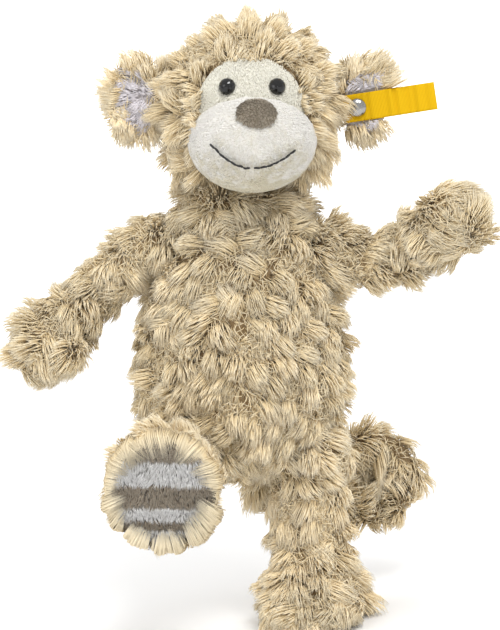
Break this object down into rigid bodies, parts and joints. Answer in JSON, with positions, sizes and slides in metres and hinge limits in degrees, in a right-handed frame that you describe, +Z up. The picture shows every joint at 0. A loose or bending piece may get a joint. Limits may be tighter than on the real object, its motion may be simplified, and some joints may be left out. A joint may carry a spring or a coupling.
{
  "type": "stuffed monkey",
  "caption": "Long-pile plush monkey standing on one foot, with lifted striped sole, curled tail, cupped ears and a ribbon tag.",
  "frame": {"origin": "middle of the standing left foot's flat sole, on the surface the toy stands on", "axes": "+Z up, -Y the way the toy looks, +X the toy's own left"},
  "size_m": [0.2338, 0.1609, 0.2954],
  "materials": {
    "long_fur": "matte",
    "face_cloth": "matte",
    "ear_cloth": "matte",
    "nose_cloth": "matte",
    "sole_cloth": "matte",
    "filling": "matte",
    "black_thread": "matte",
    "eye_plastic": "gloss",
    "washer_plastic": "matte",
    "nickel": "gloss",
    "yellow_ribbon": "satin"
  },
  "bodies": {
    "torso": {"torso_front_panel": "long_fur", "torso_back_panel": "long_fur", "torso_stuffing": "filling"},
    "head": {"head_left_panel": "long_fur", "head_right_panel": "long_fur", "face_panel": "face_cloth", "head_stuffing": "filling", "muzzle_panel": "face_cloth", "muzzle_stuffing": "filling", "nose_patch": "nose_cloth", "mouth_stitch_left": "black_thread", "mouth_stitch_right": "black_thread", "eye_left": "eye_plastic", "eye_right": "eye_plastic", "eye_washer_left": "washer_plastic", "eye_washer_right": "washer_plastic"},
    "ear_left": {"ear_shell_left": "long_fur", "ear_lining_left": "ear_cloth", "ear_button": "nickel", "ear_button_washer": "nickel"},
    "ear_right": {"ear_shell_right": "long_fur", "ear_lining_right": "ear_cloth"},
    "flag": {"ear_flag": "yellow_ribbon"},
    "arm_left": {"arm_front_panel_left": "long_fur", "arm_back_panel_left": "long_fur", "arm_stuffing_left": "filling"},
    "arm_right": {"arm_front_panel_right": "long_fur", "arm_back_panel_right": "long_fur", "arm_stuffing_right": "filling"},
    "leg_left": {"leg_front_panel_left": "long_fur", "leg_back_panel_left": "long_fur", "leg_stuffing_left": "filling", "foot_sole_left": "sole_cloth"},
    "leg_right": {"leg_front_panel_right": "long_fur", "leg_back_panel_right": "long_fur", "leg_stuffing_right": "filling", "foot_sole_right": "sole_cloth"},
    "tail": {"tail_front_panel": "long_fur", "tail_back_panel": "long_fur", "tail_stuffing": "filling"}
  },
  "joints": [
    {"name": "head_turn", "type": "hinge", "parent": "torso", "child": "head", "pos_m": [-0.0022, 0.005, 0.25467], "axis": [0.1132, 0, 0.9936], "range_deg": [-35, 35]},
    {"name": "ear_left_flex", "type": "hinge", "parent": "head", "child": "ear_left", "pos_m": [0.04005, 0.00825, 0.25452], "axis": [0.113, 0.0523, 0.9922], "range_deg": [-15, 15], "stiffness_Nm_per_rad": 0.02},
    {"name": "ear_right_flex", "type": "hinge", "parent": "head", "child": "ear_right", "pos_m": [-0.04341, 0.00825, 0.26403], "axis": [0.113, 0.0523, 0.9922], "range_deg": [-15, 15], "stiffness_Nm_per_rad": 0.02},
    {"name": "flag_swivel", "type": "hinge", "parent": "ear_left", "child": "flag", "pos_m": [0.04879, 0.00801, 0.249], "axis": [0.0059, -0.9986, 0.052], "range_deg": [-12, 15]},
    {"name": "arm_right_swing", "type": "hinge", "parent": "torso", "child": "arm_right", "pos_m": [-0.05616, 0.009, 0.19187], "axis": [0, 1, 0], "range_deg": [-5, 45]},
    {"name": "arm_left_swing", "type": "hinge", "parent": "torso", "child": "arm_left", "pos_m": [0.02845, 0.009, 0.17921], "axis": [0, -1, 0], "range_deg": [-30, 25]},
    {"name": "leg_left_swing", "type": "hinge", "parent": "torso", "child": "leg_left", "pos_m": [0.006, 0.009, 0.086], "axis": [-1, 0, 0], "range_deg": [-20, 25]},
    {"name": "leg_right_swing", "type": "hinge", "parent": "torso", "child": "leg_right", "pos_m": [-0.05345, 0.001, 0.09193], "axis": [-0.9898, 0.0872, 0.1128], "range_deg": [-60, 0]},
    {"name": "tail_swing", "type": "hinge", "parent": "torso", "child": "tail", "pos_m": [-0.026, 0.044, 0.086], "axis": [0, 0, 1], "range_deg": [-15, 15]}
  ]
}
